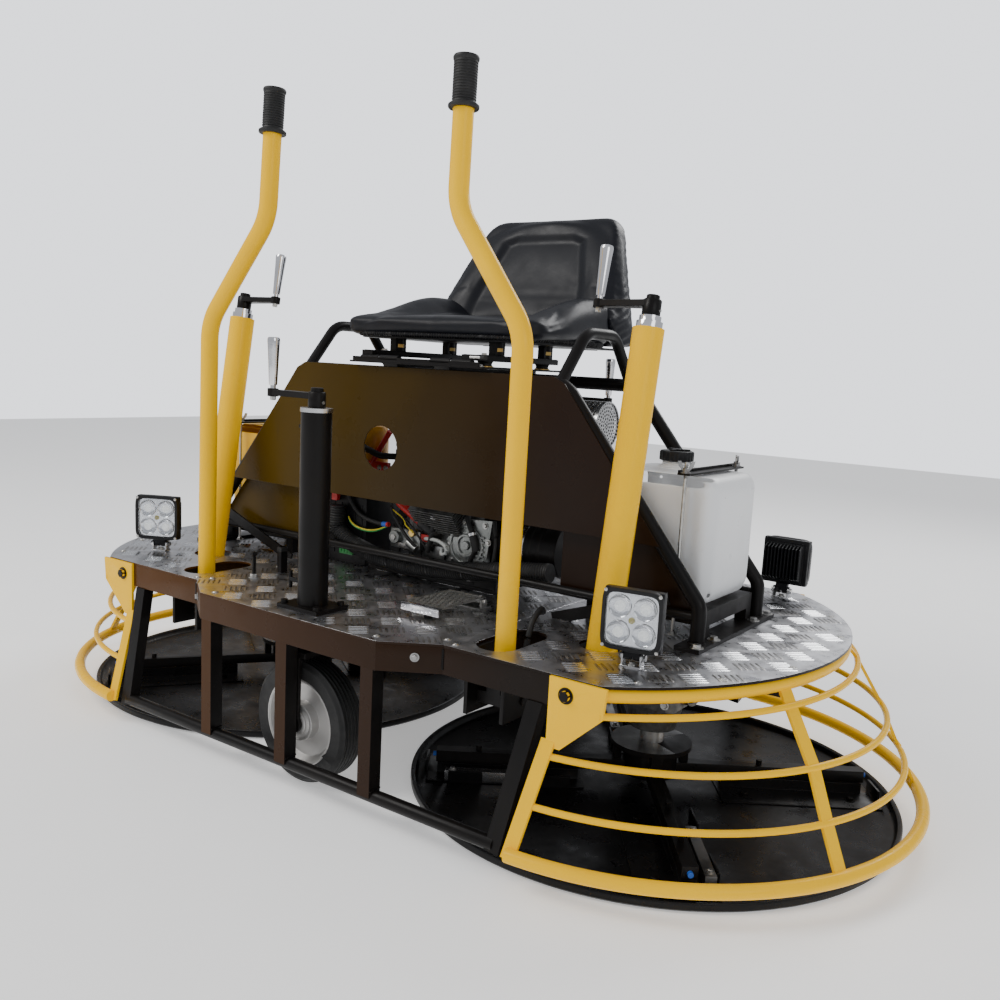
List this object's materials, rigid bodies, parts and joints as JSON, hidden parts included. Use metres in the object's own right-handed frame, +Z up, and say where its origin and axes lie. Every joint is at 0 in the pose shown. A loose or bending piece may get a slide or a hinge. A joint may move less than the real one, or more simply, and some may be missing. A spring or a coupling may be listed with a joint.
{
  "type": "ride-on power trowel",
  "caption": "Ride-on power trowel with side-by-side float-pan rotors, guard rings, tread-plate deck, control levers, jack wheels, operator seat, fuel and water tanks.",
  "frame": {"origin": "on the floor under the middle of the machine, at the bottom centre of the bounding box", "axes": "+X along the row of rotors towards the fuel-tank side, the operator faces -Y, +Z up"},
  "size_m": [2.165, 1.1136, 1.3861],
  "materials": {
    "black_frame": "satin black paint",
    "tread_plate": "five-bar tread pattern, bright",
    "yellow_paint": "gloss yellow paint",
    "engine_casting": "cast",
    "muffler_steel": "perforated guard",
    "black_plastic": "moulded",
    "belt_rubber": "matt",
    "tank_white": "translucent white",
    "tank_yellow": "moulded yellow",
    "steel_parts": "zinc plated",
    "pan_steel": "black",
    "crank_black": "black with a bright handle",
    "wheel": "ribbed tread on an aluminium rim",
    "vinyl": "smooth black vinyl"
  },
  "bodies": {
    "chassis": {"battery": "black_plastic", "center_deck_plate": "tread_plate", "deck_fasteners": "steel_parts", "drive_belt": "belt_rubber", "engine": "engine_casting", "front_bumper": "black_frame", "front_cover": "black_frame", "front_jack_tube": "black_frame", "fuel_tank": "tank_white", "left_deck_plate": "tread_plate", "left_gearbox": "engine_casting", "left_guard": "yellow_paint", "left_lower_cover": "black_frame", "left_pitch_column": "yellow_paint", "light_brackets": "black_frame", "main_frame": "black_frame", "muffler": "muffler_steel", "rear_bumper": "black_frame", "rear_jack_tube": "black_frame", "right_deck_plate": "tread_plate", "right_gearbox": "engine_casting", "right_guard": "yellow_paint", "right_lower_cover": "black_frame", "right_pitch_column": "yellow_paint", "seat_frame": "black_frame", "tank_straps": "black_frame", "water_tank": "tank_yellow", "wiring_loom": "belt_rubber"},
    "left_lever": {"left_lever": "yellow_paint", "left_grip": "belt_rubber"},
    "right_yoke": {"right_lever_yoke": "yellow_paint"},
    "right_lever": {"right_lever": "yellow_paint", "right_grip": "belt_rubber"},
    "left_pitch_crank": {"left_pitch_crank": "crank_black"},
    "right_pitch_crank": {"right_pitch_crank": "crank_black"},
    "front_jack_crank": {"front_jack_crank": "crank_black"},
    "rear_jack_crank": {"rear_jack_crank": "crank_black"},
    "front_jack": {"front_jack_leg": "black_frame"},
    "rear_jack": {"rear_jack_leg": "black_frame"},
    "front_wheel": {"front_wheel": "wheel"},
    "rear_wheel": {"rear_wheel": "wheel"},
    "pedal": {"foot_pedal": "steel_parts"},
    "seat_base": {"seat_plate": "black_frame"},
    "seat": {"seat_shell": "black_frame", "seat_cushion": "vinyl", "seat_back": "vinyl"},
    "front_left_light": {"front_left_light": "black_plastic"},
    "front_right_light": {"front_right_light": "black_plastic"},
    "rear_left_light": {"rear_left_light": "black_plastic"},
    "rear_right_light": {"rear_right_light": "black_plastic"},
    "left_rotor": {"left_rotor_hub": "steel_parts", "left_blades": "steel_parts", "left_pan": "pan_steel"},
    "right_rotor": {"right_rotor_hub": "steel_parts", "right_blades": "steel_parts", "right_pan": "pan_steel"},
    "driveshaft": {"driveshaft": "steel_parts"},
    "engine_pulley": {"engine_pulley": "steel_parts"},
    "fuel_cap": {"fuel_cap": "black_plastic"},
    "water_cap": {"water_cap": "black_plastic"}
  },
  "joints": [
    {"name": "left_rotor_spin", "type": "hinge", "parent": "chassis", "child": "left_rotor", "pos_m": [-0.54, 0, 0.15], "axis": [0, 0, 1], "continuous": true},
    {"name": "right_rotor_spin", "type": "hinge", "parent": "chassis", "child": "right_rotor", "pos_m": [0.54, 0, 0.15], "axis": [0, 0, 1], "continuous": true},
    {"name": "driveshaft_spin", "type": "hinge", "parent": "chassis", "child": "driveshaft", "pos_m": [0, 0, 0.245], "axis": [1, 0, 0], "continuous": true},
    {"name": "engine_pulley_spin", "type": "hinge", "parent": "chassis", "child": "engine_pulley", "pos_m": [-0.13, 0, 0.45], "axis": [1, 0, 0], "continuous": true},
    {"name": "left_lever_swing", "type": "hinge", "parent": "chassis", "child": "left_lever", "pos_m": [-0.42, -0.386, 0.262], "axis": [1, 0, 0], "range_deg": [-10, 10], "stiffness_Nm_per_rad": 120},
    {"name": "right_lever_swing", "type": "hinge", "parent": "chassis", "child": "right_yoke", "pos_m": [0.42, -0.386, 0.262], "axis": [1, 0, 0], "range_deg": [-10, 10], "stiffness_Nm_per_rad": 120},
    {"name": "right_lever_tilt", "type": "hinge", "parent": "right_yoke", "child": "right_lever", "pos_m": [0.42, -0.386, 0.296], "axis": [0, 1, 0], "range_deg": [-8, 8], "stiffness_Nm_per_rad": 160},
    {"name": "left_pitch_crank_turn", "type": "hinge", "parent": "chassis", "child": "left_pitch_crank", "pos_m": [-0.552, -0.265, 0.358], "axis": [0, 0.1495, 0.9888], "range_deg": [-1800, 1800]},
    {"name": "right_pitch_crank_turn", "type": "hinge", "parent": "chassis", "child": "right_pitch_crank", "pos_m": [0.552, -0.265, 0.358], "axis": [0, 0.1495, 0.9888], "range_deg": [-1800, 1800]},
    {"name": "front_jack_crank_turn", "type": "hinge", "parent": "chassis", "child": "front_jack_crank", "pos_m": [0, -0.457, 0.75], "axis": [0, 0, 1], "range_deg": [-1430, 3590]},
    {"name": "rear_jack_crank_turn", "type": "hinge", "parent": "chassis", "child": "rear_jack_crank", "pos_m": [0, 0.457, 0.75], "axis": [0, 0, 1], "range_deg": [-1430, 3590]},
    {"name": "front_jack_slide", "type": "slide", "parent": "chassis", "child": "front_jack", "axis": [0, 0, -1], "range_m": [-0.04, 0.1]},
    {"name": "rear_jack_slide", "type": "slide", "parent": "chassis", "child": "rear_jack", "axis": [0, 0, -1], "range_m": [-0.04, 0.1]},
    {"name": "front_wheel_spin", "type": "hinge", "parent": "front_jack", "child": "front_wheel", "pos_m": [0, -0.457, 0.128], "axis": [0, 1, 0], "continuous": true},
    {"name": "rear_wheel_spin", "type": "hinge", "parent": "rear_jack", "child": "rear_wheel", "pos_m": [0, 0.457, 0.128], "axis": [0, 1, 0], "continuous": true},
    {"name": "foot_pedal_press", "type": "hinge", "parent": "chassis", "child": "pedal", "pos_m": [0.2055, -0.208, 0.372], "axis": [1, 0, 0], "range_deg": [0, 4], "stiffness_Nm_per_rad": 12, "springref_deg": -6.88},
    {"name": "seat_tilt", "type": "hinge", "parent": "chassis", "child": "seat_base", "pos_m": [0, -0.172, 0.852], "axis": [1, 0, 0], "range_deg": [0, 50]},
    {"name": "seat_slide", "type": "slide", "parent": "seat_base", "child": "seat", "axis": [0, 1, 0], "range_m": [-0.04, 0.06]},
    {"name": "front_left_light_tilt", "type": "hinge", "parent": "chassis", "child": "front_left_light", "pos_m": [-0.66, -0.335, 0.375], "axis": [0.8746, 0.4848, 0], "range_deg": [-20, 20]},
    {"name": "front_right_light_tilt", "type": "hinge", "parent": "chassis", "child": "front_right_light", "pos_m": [0.65, -0.335, 0.375], "axis": [0.9877, 0.1564, 0], "range_deg": [-20, 20]},
    {"name": "rear_left_light_tilt", "type": "hinge", "parent": "chassis", "child": "rear_left_light", "pos_m": [-0.65, 0.397, 0.375], "axis": [1, 0, 0], "range_deg": [-20, 20]},
    {"name": "rear_right_light_tilt", "type": "hinge", "parent": "chassis", "child": "rear_right_light", "pos_m": [0.65, 0.397, 0.375], "axis": [1, 0, 0], "range_deg": [-20, 20]},
    {"name": "fuel_cap_lift", "type": "slide", "parent": "chassis", "child": "fuel_cap", "axis": [0, 0, 1], "range_m": [0, 0.06]},
    {"name": "water_cap_lift", "type": "slide", "parent": "chassis", "child": "water_cap", "axis": [0, 0, 1], "range_m": [0, 0.06]}
  ],
  "couplings": [
    {"joint": "right_rotor_spin", "follows": "left_rotor_spin", "ratio": -1},
    {"joint": "driveshaft_spin", "follows": "left_rotor_spin", "ratio": 15},
    {"joint": "engine_pulley_spin", "follows": "left_rotor_spin", "ratio": 20.454},
    {"joint": "front_jack_slide", "follows": "front_jack_crank_turn", "m_per_rad": 0.0015915},
    {"joint": "rear_jack_slide", "follows": "rear_jack_crank_turn", "m_per_rad": 0.0015915}
  ]
}
